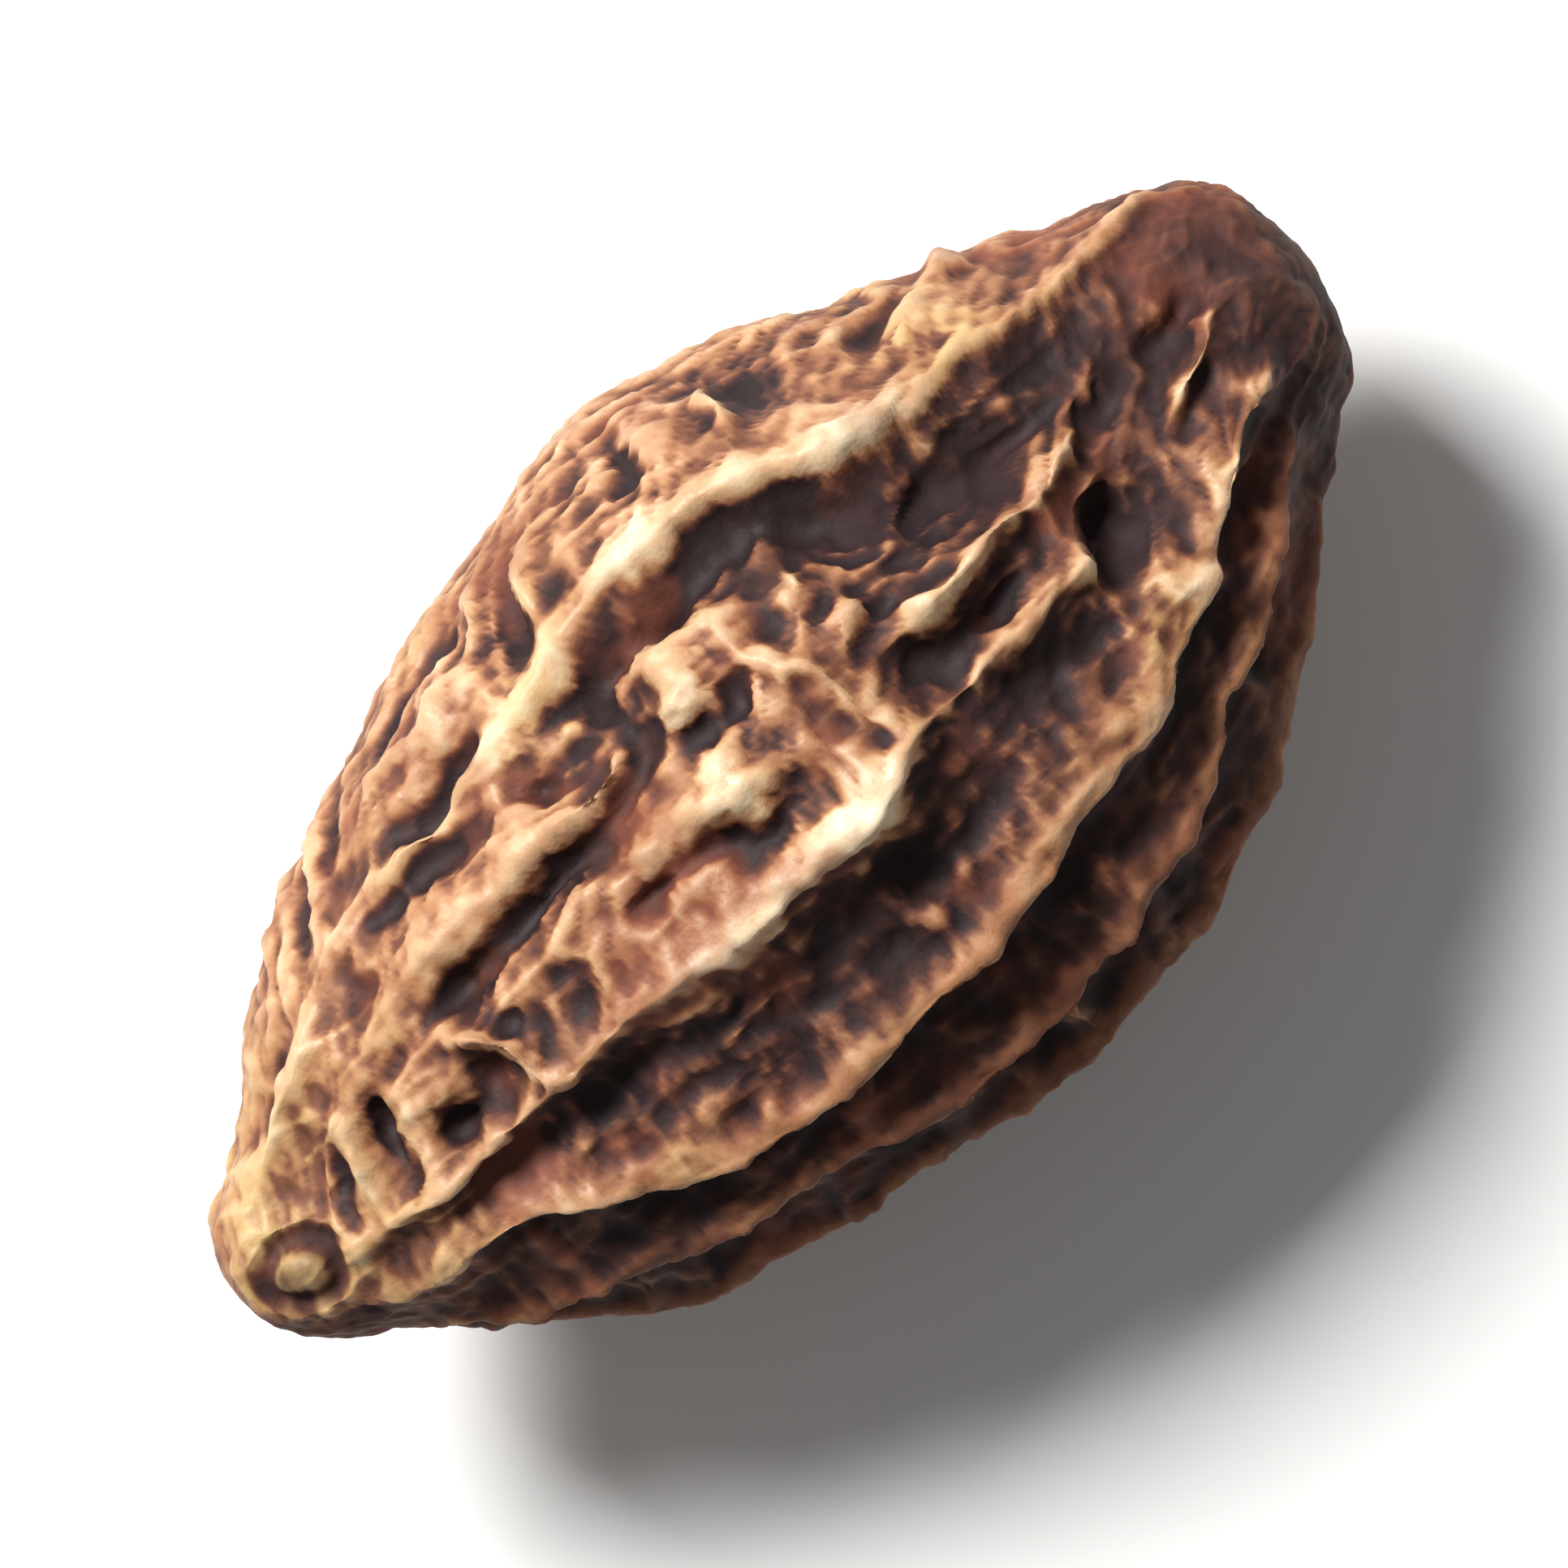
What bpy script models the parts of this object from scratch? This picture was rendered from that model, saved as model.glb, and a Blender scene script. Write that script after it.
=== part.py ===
"""A dried chebulic myrobalan: an oblong, ribbed and wrinkled fruit lying on its side on a small flat spot.

It is one closed solid in metres, +Z up. The fruit lies along X with its stalk scar at the -X end, and the
origin is at the bottom centre of its box. Sizes below are in millimetres and degrees. An angle is measured
around the fruit's axis from straight up, positive towards +Y. A place given as (x, y) is seen from above.
"""

import math
import random

import bmesh
import bpy
import numpy as np
from mathutils import Vector, noise

MM = 0.001

# Driving dimensions
LENGTH = 32.0
FULL_RADIUS = 8.9
RIB_HEIGHT = 1.3
FLAT_SPOT_DEPTH = 0.62
FLAT_SPOT_BARE = 1.0
FLAT_SPOT_SMOOTHED = 4.5
END_FADE = 2.4

# How the relief keeps pace with the fruit's girth, as powers of its share of the full radius
RELIEF_TAPER = 0.85
RIB_TAPER = 0.8
LEAST_RIB_WIDTH = 0.05

# How far ribs stray to either side, as an angle in radians, how much of its height a rib rises and falls by,
# and the size of these swells. Then the same for creases, which stray by a length
RIB_STRAY = 0.07
RIB_UNEVENNESS = 0.25
RIB_SWELL_SIZE = 2.6
CREASE_STRAY = 0.5
CREASE_UNEVENNESS = 0.9
CREASE_SWELL_SIZE = 1.5

# Section of a rib: the share of its height in the narrow crest, and how much narrower than its foot that is
CREST_SHARE = 0.4
CREST_NARROWING = 2.2

# Power in which ribs add up: the higher, the less a rib swells where it meets its neighbour
RIB_BLEND = 3.0

# Share of a crease's length over which each of its ends fades, and how sharp the bottom of a groove is
CREASE_END = 0.38
GROOVE_SHARPNESS = 1.5

# Grid of the surface: rings along the fruit, columns around it, how much closer columns stand on top, and
# how far the rings are evened out along the length from their places on a sphere
RINGS = 80
COLUMNS = 70
TOP_CROWDING = 0.25
RING_EVENNESS = 0.35

# Sections over the rib crests, as (x, half width, half height, centre y, centre z). The stalk end turns up
SECTIONS = (
    (-16.0, 0.0, 0.0, -0.75, 2.5),
    (-15.3, 1.8, 1.75, -0.8, 2.2),
    (-14.0, 3.0, 2.9, -0.85, 1.7),
    (-12.0, 4.75, 4.6, -0.9, 0.95),
    (-9.0, 6.45, 6.2, -0.9, 0.3),
    (-4.0, 8.1, 7.8, -0.8, 0.0),
    (1.4, 8.9, 8.45, -0.4, 0.0),
    (5.2, 8.35, 8.0, -0.4, 0.0),
    (8.5, 6.75, 6.6, -0.3, 0.1),
    (12.0, 4.8, 4.9, 0.1, 0.3),
    (14.4, 3.55, 3.7, 0.5, 0.4),
    (15.4, 2.45, 2.5, 0.6, 0.4),
    (16.0, 0.0, 0.0, 0.7, 0.4),
)

# Ribs, as (half width on the side of the larger angle, half width on the other side, stations of (x, angle,
# share of the rib height)). A rib starts and ends where its share is 0
RIBS = (
    # broad golden rib
    (3.0, 1.5, ((-15.6, 36, 0), (-13.5, 36, 0.8), (-10, 42, 0.9), (-4, 38, 0.95), (0, 40, 1.05), (3, 38, 1.1),
                (6, 35, 1.05), (11, 42, 1.0), (14.5, 58, 0.8), (15.8, 62, 0))),
    # short rib, central rib and thin golden rib
    (1.6, 1.5, ((2.4, 3, 0), (4, 3.5, 0.7), (5.6, 4.5, 0.9), (7.2, 7, 0.8), (8.1, 8, 0.45), (9, 10, 0.6),
                (10.4, 11, 0))),
    (2.4, 1.3, ((-14.5, -16, 0), (-12.5, -13, 0.7), (-9, -11, 0.85), (-6.5, -9, 1.0), (-2, -12, 1.1),
                (2.5, -10, 1.05), (4, -8, 0.5), (7, -8, 0.45), (9, -9, 0.3), (10.5, -10, 0))),
    (3.0, 1.1, ((-15.4, -52, 0), (-13.5, -42, 0.6), (-11, -31, 0.8), (-7, -41, 0.85), (0, -41, 0.85),
                (6, -36, 0.75), (9.5, -33, 0.7), (12, -26, 0.5), (14.8, -16, 0))),
    # ribs of the shaded side, the resting rib and ribs of the far side
    (2.2, 1.4, ((-14.5, -76, 0), (-11, -66, 0.7), (-5, -60, 0.8), (0, -61, 0.85), (5, -57, 0.8),
                (11, -52, 0.7), (15.5, -46, 0))),
    (2.2, 1.8, ((-15, -98, 0), (-11, -92, 0.9), (-5, -88, 1.0), (5, -86, 1.0), (12, -88, 0.9),
                (15.6, -90, 0))),
    (1.9, 1.9, ((-14, -120, 0), (-9, -114, 0.75), (-3, -113, 0.9), (6, -117, 0.8), (12, -113, 0.8),
                (15, -110, 0))),
    (2.2, 2.0, ((-15, -148, 0), (-8, -143, 1.0), (0, -142, 0.95), (8, -146, 1.05), (14.5, -152, 0))),
    (5.6, 5.6, ((-15, -185, 0), (-11, -182, 0.8), (-4, -179, 1.05), (5, -181, 1.05), (11, -178, 0.85),
                (15.2, -176, 0))),
    (2.0, 2.2, ((-14, -219, 0), (-8, -216, 0.8), (0, -216, 1.0), (9, -212, 0.9), (15.4, -209, 0))),
    (2.2, 2.0, ((-15, -252, 0), (-9, -246, 0.85), (-2, -244, 0.95), (8, -248, 0.9), (15, -238, 0))),
)

# Swellings between the ribs, nearly flat on top, given as the ribs are
SWELLINGS = (
    # smooth flank over the broad rib, and the field under the left part of that rib
    (6.2, 5.0, ((-15.2, 58, 0), (-13, 59, 0.7), (-8, 62, 0.92), (-2, 62, 0.96), (6, 60, 0.96), (11, 64, 0.9),
                (15.6, 74, 0))),
    (2.1, 2.1, ((-13.6, 24, 0), (-10.5, 29, 0.8), (-5, 27, 0.82), (-2.6, 26, 0.6), (-1.4, 26, 0))),
    # field over the central rib and field under the right part of the broad rib
    (3.0, 3.0, ((-14, 5, 0), (-10.5, 5, 0.65), (-6, 2, 0.8), (0, 1, 0.85), (2.8, 1, 0.8), (4.4, 1, 0))),
    (2.3, 2.3, ((-2.4, 22, 0), (-1, 20, 0.75), (1.2, 19, 0.75), (2.8, 19, 0.5), (5, 18, 0))),
)

# Creases on the upper side, as (height, half width, route of (x, y)). A negative height is a groove
CREASES = (
    # hooked thin ridge left of the middle, the long groove under it and the hollow in its hook
    (0.35, 0.5, ((-8.0, 1.8), (-5.4, 2.15), (-3.4, 1.9), (-2.4, 2.2), (-2.1, 3.0), (-2.4, 3.9))),
    (-0.8, 0.9, ((-9.9, 0.9), (-8.0, 1.0), (-6.0, 1.35), (-3.8, 1.45), (-0.9, 1.4))),
    (-0.7, 1.1, ((-4.6, 3.3), (-2.3, 2.8))),
    (-0.45, 0.75, ((-8.8, 3.1), (-6.5, 3.35), (-4.2, 3.3))),
    # thin ridge and groove above the broad rib
    (0.3, 0.6, ((-8.4, 5.2), (-5.6, 5.4), (-2.8, 5.9))),
    (-0.7, 0.7, ((-8.0, 4.3), (-5.5, 4.6), (-3.5, 5.1))),
    # thin crease that crosses the top and meets the central rib
    (0.35, 0.45, ((0.9, 4.4), (1.3, 3.3), (1.4, 2.1), (2.1, 0.9), (2.3, -0.5), (3.2, -2.0))),
    (-0.6, 0.8, ((1.3, 0.7), (2.0, -0.5), (2.6, -1.8))),
    # grooves under the short rib, and the hollows where the ribs run out
    (-0.8, 0.85, ((2.7, -1.0), (5.0, -0.85), (7.0, -0.5), (8.9, 0.1))),
    (-0.9, 1.5, ((9.6, -0.2), (9.3, -2.7))),
    (-0.8, 1.2, ((9.2, 0.0), (11.0, 0.7), (13.0, 1.5), (15.6, 2.4))),
    (-0.8, 0.9, ((-2.6, 3.9), (-0.6, 4.4), (1.9, 4.2))),
    (-0.6, 1.7, ((3.8, 3.1), (7.0, 2.3), (11.0, 2.2))),
    # swellings and dips of the two fields
    (0.3, 1.4, ((-2.6, -0.2), (-1.0, 0.3), (0.4, 0.7))),
    (0.4, 1.0, ((-1.4, 1.9), (-0.4, 2.4), (0.2, 3.4))),
    (0.3, 0.9, ((1.9, 2.4), (3.6, 2.7))),
    (0.35, 0.9, ((2.6, 1.1), (4.0, 1.3))),
    (-0.55, 1.0, ((-5.6, -0.2), (-3.9, -0.1), (-2.4, -0.4), (-0.8, -1.1), (1.4, -1.0))),
    (-0.45, 0.8, ((-1.6, 1.5), (0.1, 1.3), (1.3, 1.7))),
    (-0.4, 0.7, ((-7.0, 0.7), (-6.2, -0.4), (-5.9, -1.6))),
    (-0.4, 0.7, ((-8.0, 0.5), (-7.4, -0.4), (-6.8, -1.4))),
    # folds and pits towards the stalk end
    (0.4, 0.7, ((-9.8, 1.0), (-8.4, -0.1), (-7.6, -1.2), (-7.0, -2.3))),
    (-0.8, 1.0, ((-11.0, -1.3), (-9.6, -1.1), (-8.0, -0.8))),
    (-0.8, 0.8, ((-10.9, 0.9), (-11.3, -0.6), (-11.6, -2.0))),
    (-0.6, 0.6, ((-12.4, 0.4), (-12.9, -0.6), (-13.1, -1.8))),
    (0.3, 0.6, ((-12.0, 1.3), (-12.2, 0.0), (-12.4, -1.5))),
    (-0.35, 0.7, ((-10.8, 2.0), (-9.0, 2.6))),
    # short ridges on the flank towards the blunt end
    (0.25, 0.7, ((8.8, -2.4), (9.4, -3.2), (9.8, -4.1))),
    (0.5, 0.9, ((9.8, -2.8), (12.0, -1.5), (14.8, -0.4))),
    (0.35, 0.7, ((11.0, -0.5), (12.6, 0.2), (14.6, 1.2))),
    (-0.6, 0.9, ((10.6, -3.6), (13.0, -2.5), (15.0, -1.6))),
    # oblique wrinkles on the flank over the broad rib
    (0.35, 0.6, ((-3.5, 5.8), (-2.7, 6.7), (-1.6, 7.7))),
    (0.35, 0.6, ((-1.9, 5.4), (-1.0, 6.5), (-0.2, 7.7))),
    (-0.5, 0.7, ((-2.8, 5.2), (-1.8, 6.2), (-0.8, 7.4))),
    (-0.5, 0.7, ((1.6, 6.0), (2.1, 7.0), (2.2, 8.1))),
    (0.35, 0.6, ((3.6, 4.9), (4.5, 6.2), (4.4, 7.5))),
    (-0.4, 0.8, ((4.9, 5.2), (5.6, 6.2), (5.6, 7.2))),
    (0.3, 0.8, ((8.2, 4.6), (10.6, 5.6))),
    (-0.35, 0.8, ((7.4, 5.0), (9.4, 5.9))),
    # wrinkles and grooves of the same flank towards the stalk end
    (-0.5, 0.8, ((-14.6, 1.4), (-12.6, 2.4), (-10.6, 3.6))),
    (0.3, 0.6, ((-10.8, 3.6), (-9.4, 5.4))),
    (-0.45, 0.6, ((-10.0, 3.7), (-8.6, 5.6))),
    (0.3, 0.6, ((-9.2, 3.9), (-7.9, 5.9))),
    (-0.4, 0.6, ((-8.1, 4.8), (-6.9, 6.3))),
    (-0.5, 0.8, ((-6.8, 5.8), (-4.6, 6.4), (-2.8, 7.1))),
)

# Cross wrinkles of the hidden sides: angles and lengths between which they lie, step and shift along the
# fruit, angle that one spans, gap to the next, how far it slants and bows, height and half width
HIDDEN_START, HIDDEN_END = -262.0, -58.0
FIRST_TURN = (0.0, 20.0)
WRINKLES_START, WRINKLES_END = -13.0, 13.5
WRINKLE_STEP = 1.6
WRINKLE_SHIFT = 0.7
WRINKLE_SPAN = (16.0, 34.0)
WRINKLE_GAP = (6.0, 26.0)
WRINKLE_SLANT = 0.65
WRINKLE_BOW = 0.15
WRINKLE_HEIGHT = (0.15, 0.5)
WRINKLE_HALF_WIDTH = 0.8
WRINKLE_LOSS_ON_RIBS = 0.4
WRINKLE_SEED = 7

# Raised net over all of the skin: size of its meshes along and across the fruit, height and thickness
NET_LENGTH, NET_WIDTH = 2.9, 3.6
NET_HEIGHT = 0.32
NET_THICKNESS = 0.55
NET_LOSS_ON_RIBS = 0.6

# Stalk scar: where it is, the groove round its low disc and the rim, as (radius, half width, height), how far
# these rings stray from round, and the radius in which the other relief fades
SCAR_PLACE = (-14.7, -1.25)
SCAR_GROOVE = (0.8, 0.4, -0.24)
SCAR_RIM = (1.3, 0.5, 0.12)
SCAR_STRAY = 0.4
SCAR_SWELL_SIZE = 0.8
SCAR_SMOOTHED = 1.2

SKIN_COLOUR = (0.319, 0.126, 0.042)
SKIN_ROUGHNESS = 0.45


def smooth_curve(places, values, x):
    """Value at x of the smooth curve through the given places: cubic pieces that share their slopes."""
    slopes = np.gradient(values, places)
    x = np.clip(x, places[0], places[-1])
    piece = np.clip(np.searchsorted(places, x) - 1, 0, len(places) - 2)
    span = places[piece + 1] - places[piece]
    share = (x - places[piece]) / span
    rise = values[piece + 1] - values[piece]
    start_slope, end_slope = slopes[piece] * span, slopes[piece + 1] * span
    bend = start_slope * (1 - share) - end_slope * share + rise * (2 * share - 1)
    return values[piece] + rise * share + share * (1 - share) * bend


def section_at(x):
    """Half width, half height, centre y and centre z at x. The squares of the halves give round ends."""
    places, widths, heights, centres_y, centres_z = np.array(SECTIONS).T
    half_width = np.sqrt(np.maximum(smooth_curve(places, widths**2, x), 0.0))
    half_height = np.sqrt(np.maximum(smooth_curve(places, heights**2, x), 0.0))
    return half_width, half_height, smooth_curve(places, centres_y, x), smooth_curve(places, centres_z, x)


def body_points(x, angle):
    """Points of the plain body, without ribs, at x and at an angle in radians."""
    half_width, half_height, centre_y, centre_z = section_at(x)
    y = centre_y + half_width * np.sin(angle)
    z = centre_z + half_height * np.cos(angle)
    return np.stack((x, y, z), axis=-1)


def angle_from_above(x, y):
    """Angle in radians of the place on the body that lies at (x, y) seen from above."""
    half_width, _, centre_y, _ = section_at(x)
    return np.arcsin(np.clip((y - centre_y) / half_width, -1.0, 1.0))


def bump(share):
    """Rounded bump: 1 in the middle, 0 from a share of 1 outwards."""
    return (1.0 - np.clip(share, 0.0, 1.0) ** 2) ** 2


def ease(share):
    """Eased step from 0 to 1."""
    share = np.clip(share, 0.0, 1.0)
    return share * share * (3.0 - 2.0 * share)


def rib_section(share):
    """Section of a rib: a narrow crest on a broad foot."""
    return (1.0 - CREST_SHARE) * bump(share) + CREST_SHARE * bump(CREST_NARROWING * share)


def swelling_section(share):
    """Section of a swelling: nearly flat on top."""
    return bump(share**2)


def swells(points, size):
    """Smooth noise about 0, mostly within 0.5 of it, with swells of a size in mm."""
    return np.array([noise.noise(Vector(point)) for point in points / size])


def off_flat_spot(points):
    """0 at the flat spot, eased to 1 away from it, where the skin is as uneven as elsewhere."""
    lowest = body_points(np.array(0.0), math.pi)
    return ease((np.linalg.norm(points - lowest, axis=1) - FLAT_SPOT_BARE) / FLAT_SPOT_SMOOTHED)


def rib_relief(points, x, angle):
    """Ribs as a share of the rib height: 1 on a full crest, 0 in a valley. Neighbours blend together."""
    radius = section_at(x)[0]
    rise = off_flat_spot(points) * swells(points, RIB_SWELL_SIZE)
    angle = angle + RIB_STRAY * rise
    rows = [(rib_section, *rib) for rib in RIBS] + [(swelling_section, *swelling) for swelling in SWELLINGS]
    total = np.zeros_like(x)
    for section, upper_width, lower_width, stations in rows:
        places, angles, shares = np.array(stations, float).T
        offset = angle - np.radians(smooth_curve(places, angles, x))
        offset = (offset + math.pi) % (2.0 * math.pi) - math.pi
        width = np.where(offset > 0.0, upper_width, lower_width) * (radius / FULL_RADIUS) ** RIB_TAPER
        height = np.maximum(smooth_curve(places, shares, x), 0.0)
        total += (height * section(np.abs(offset) * radius / (width + LEAST_RIB_WIDTH))) ** RIB_BLEND
    return total ** (1.0 / RIB_BLEND) * (1.0 + RIB_UNEVENNESS * rise)


def groove_section(share):
    """Section of a groove: folds of skin meet in a sharp bottom."""
    return (1.0 - np.clip(share, 0.0, 1.0)) ** GROOVE_SHARPNESS


def strayed(points):
    """Points moved a little by smooth noise, so that creases measured from them wander."""
    moves = np.array([noise.noise_vector(Vector(point)) for point in points / CREASE_SWELL_SIZE])
    return points + CREASE_STRAY * moves


def crease_relief(points, height, half_width, route):
    """Height that a crease adds at each point. The route is a row of points on the body."""
    nearest = np.full(len(points), np.inf)
    passed = np.zeros(len(points))
    steps = len(route) - 1
    for step in range(steps):
        run = route[step + 1] - route[step]
        share = np.clip((points - route[step]) @ run / (run @ run), 0.0, 1.0)
        gap = np.linalg.norm(points - route[step] - share[:, None] * run, axis=1)
        closer = gap < nearest
        nearest[closer] = gap[closer]
        passed[closer] = (step + share[closer]) / steps
    fade = ease(passed / CREASE_END) * ease((1.0 - passed) / CREASE_END)
    section = bump if height > 0.0 else groove_section
    return height * fade * section(nearest / half_width)


def upper_creases():
    """The creases placed by hand, as (height, half width, points on the body)."""
    for height, half_width, route in CREASES:
        x, y = np.array(route).T
        yield height, half_width, body_points(x, angle_from_above(x, y))


def hidden_wrinkles():
    """Cross wrinkles of the hidden sides: short oblique ridges between the ribs, the same on each run."""
    chance = random.Random(WRINKLE_SEED)
    x = WRINKLES_START
    while x < WRINKLES_END:
        angle = HIDDEN_START + chance.uniform(*FIRST_TURN)
        while angle < HIDDEN_END:
            span = chance.uniform(*WRINKLE_SPAN)
            slant = chance.uniform(-WRINKLE_SLANT, WRINKLE_SLANT)
            shift = chance.uniform(-WRINKLE_SHIFT, WRINKLE_SHIFT)
            places = x + shift + np.array((-slant, WRINKLE_BOW, slant))
            angles = np.radians(angle + np.array((0.0, span / 2.0, span)))
            yield chance.uniform(*WRINKLE_HEIGHT), WRINKLE_HALF_WIDTH, body_points(places, angles)
            angle += span + chance.uniform(*WRINKLE_GAP)
        x += WRINKLE_STEP


def net_relief(points):
    """Raised net of the skin, from 0 inside a mesh of it to 1 on its threads."""
    sizes = np.array((NET_LENGTH, NET_WIDTH, NET_WIDTH))
    threads = np.empty(len(points))
    for index, point in enumerate(points / sizes):
        nearest = noise.voronoi(Vector(point))[0]
        threads[index] = 1.0 - (nearest[1] - nearest[0]) / NET_THICKNESS
    return ease(threads)


def scar_distance(points):
    """Distance of each point from the middle of the stalk scar, uneven so that its rings stray from round."""
    x, y = np.array(SCAR_PLACE)
    distance = np.linalg.norm(points - body_points(x, angle_from_above(x, y)), axis=1)
    return distance + SCAR_STRAY * swells(points, SCAR_SWELL_SIZE)


def ring_relief(distance, radius, half_width, height):
    """Height that a ring of the scar adds at each distance from its middle."""
    return height * bump(np.abs(distance - radius) / half_width)


def relief(points, x, angle):
    """Height of the skin over the plain body, in mm."""
    size = (section_at(x)[0] / FULL_RADIUS) ** RELIEF_TAPER
    smoothed = off_flat_spot(points)
    ribs = rib_relief(points, x, angle)
    height = RIB_HEIGHT * size * ease((LENGTH / 2.0 - np.abs(x)) / END_FADE) * (ribs - 1.0)
    places = strayed(points)
    swell = 1.0 + CREASE_UNEVENNESS * swells(points, CREASE_SWELL_SIZE)
    for crease in upper_creases():
        height += swell * crease_relief(places, *crease)
    for wrinkle in hidden_wrinkles():
        height += smoothed * size * (1.0 - WRINKLE_LOSS_ON_RIBS * ribs) * crease_relief(places, *wrinkle)
    height += NET_HEIGHT * smoothed * size * (1.0 - NET_LOSS_ON_RIBS * ribs) * net_relief(points)
    distance = scar_distance(points)
    height *= ease(distance / SCAR_SMOOTHED)
    return height + ring_relief(distance, *SCAR_GROOVE) + ring_relief(distance, *SCAR_RIM)


def fruit_mesh():
    """Sphere grid turned onto the X axis, moved onto the plain body, then along its normals by the relief."""
    grid = bmesh.new()
    bmesh.ops.create_uvsphere(grid, u_segments=COLUMNS, v_segments=RINGS, radius=1.0)
    sphere = np.array([vertex.co[:] for vertex in grid.verts])
    place = sphere[:, 2] * (1.0 - RING_EVENNESS) + np.arcsin(sphere[:, 2]) / (math.pi / 2.0) * RING_EVENNESS
    x = place * LENGTH / 2.0
    angle = np.arctan2(sphere[:, 1], sphere[:, 0])
    angle -= TOP_CROWDING * np.sin(angle)
    body = body_points(x, angle)
    for vertex, point in zip(grid.verts, body):
        vertex.co = point
    bmesh.ops.recalc_face_normals(grid, faces=grid.faces)
    grid.normal_update()
    normals = np.array([vertex.normal[:] for vertex in grid.verts])
    points = body + relief(body, x, angle)[:, None] * normals
    points[:, 2] = np.maximum(points[:, 2], points[:, 2].min() + FLAT_SPOT_DEPTH)
    low, high = points.min(axis=0), points.max(axis=0)
    points -= ((low[0] + high[0]) / 2.0, (low[1] + high[1]) / 2.0, low[2])
    points[:, 0] *= LENGTH / (high[0] - low[0])
    for vertex, point in zip(grid.verts, points * MM):
        vertex.co = point
    mesh = bpy.data.meshes.new("fruit")
    grid.to_mesh(mesh)
    grid.free()
    mesh.shade_smooth()
    return mesh


def skin_material():
    """Dry brown skin with a dull waxy sheen."""
    material = bpy.data.materials.new("dried fruit skin")
    material.use_nodes = True
    shader = material.node_tree.nodes["Principled BSDF"]
    shader.inputs["Base Color"].default_value = (*SKIN_COLOUR, 1.0)
    shader.inputs["Roughness"].default_value = SKIN_ROUGHNESS
    shader.inputs["Metallic"].default_value = 0.0
    return material


def main():
    for item in list(bpy.data.objects):
        bpy.data.objects.remove(item)
    fruit = bpy.data.objects.new("fruit", fruit_mesh())
    fruit.data.materials.append(skin_material())
    bpy.context.scene.collection.objects.link(fruit)


main()
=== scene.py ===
import math
import random

import bmesh
import bpy
import numpy as np
from mathutils import Matrix, Vector, noise


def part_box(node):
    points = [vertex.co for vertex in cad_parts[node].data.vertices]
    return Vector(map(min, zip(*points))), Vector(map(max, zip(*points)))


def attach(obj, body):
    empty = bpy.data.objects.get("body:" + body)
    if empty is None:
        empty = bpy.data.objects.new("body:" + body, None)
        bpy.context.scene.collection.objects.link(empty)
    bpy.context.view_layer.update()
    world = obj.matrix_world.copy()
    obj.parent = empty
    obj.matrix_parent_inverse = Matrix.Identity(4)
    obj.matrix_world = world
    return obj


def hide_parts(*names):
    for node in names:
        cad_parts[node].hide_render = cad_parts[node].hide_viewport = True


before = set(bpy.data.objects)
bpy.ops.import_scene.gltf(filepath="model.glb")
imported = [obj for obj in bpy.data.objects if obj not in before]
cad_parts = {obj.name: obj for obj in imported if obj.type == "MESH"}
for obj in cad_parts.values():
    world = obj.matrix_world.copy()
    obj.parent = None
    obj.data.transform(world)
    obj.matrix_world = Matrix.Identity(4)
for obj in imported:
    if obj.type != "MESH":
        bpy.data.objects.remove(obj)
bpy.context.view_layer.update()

# The plain body of the fruit.
# A chebulic myrobalan is a drupe: a hard stone in flesh that shrinks onto it in drying and leaves an oblong body,
# blunt at the tip and drawn out at the stalk, where it turns up a little. It lies along X, in millimetres here.
LENGTH = 32.0
FULL_RADIUS = 8.9
RINGS = 310
COLUMNS = 318
TOP_CROWDING = 0.25
RING_EVENNESS = 0.35
# x, half width, half height, centre y, centre z
SECTIONS = (
    (-16.0, 0.0, 0.0, -0.75, 2.5),
    (-15.3, 1.8, 1.75, -0.8, 2.2),
    (-14.0, 3.0, 2.9, -0.85, 1.7),
    (-12.0, 4.75, 4.6, -0.9, 0.95),
    (-9.0, 6.45, 6.2, -0.9, 0.3),
    (-4.0, 8.1, 7.8, -0.8, 0.0),
    (1.4, 8.9, 8.45, -0.4, 0.0),
    (5.2, 8.35, 8.0, -0.4, 0.0),
    (8.5, 6.75, 6.6, -0.3, 0.1),
    (12.0, 4.8, 4.9, 0.1, 0.3),
    (14.4, 3.55, 3.7, 0.5, 0.4),
    (15.4, 2.45, 2.5, 0.6, 0.4),
    (16.0, 0.0, 0.0, 0.7, 0.4),
)



def smooth_curve(places, values, x):
    """Value at x of the smooth curve through the given places: cubic pieces that share their slopes."""
    slopes = np.gradient(values, places)
    x = np.clip(x, places[0], places[-1])
    piece = np.clip(np.searchsorted(places, x) - 1, 0, len(places) - 2)
    span = places[piece + 1] - places[piece]
    share = (x - places[piece]) / span
    rise = values[piece + 1] - values[piece]
    start_slope, end_slope = slopes[piece] * span, slopes[piece + 1] * span
    bend = start_slope * (1 - share) - end_slope * share + rise * (2 * share - 1)
    return values[piece] + rise * share + share * (1 - share) * bend


def section_at(x):
    """Half width, half height, centre y and centre z at x. The squares of the halves give round ends."""
    places, widths, heights, centres_y, centres_z = np.array(SECTIONS).T
    half_width = np.sqrt(np.maximum(smooth_curve(places, widths**2, x), 0.0))
    half_height = np.sqrt(np.maximum(smooth_curve(places, heights**2, x), 0.0))
    return half_width, half_height, smooth_curve(places, centres_y, x), smooth_curve(places, centres_z, x)


def body_points(x, angle):
    """Points of the plain body at x and at an angle in radians from straight up, positive towards +Y."""
    half_width, half_height, centre_y, centre_z = section_at(x)
    return np.stack((x, centre_y + half_width * np.sin(angle), centre_z + half_height * np.cos(angle)), axis=-1)


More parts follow.
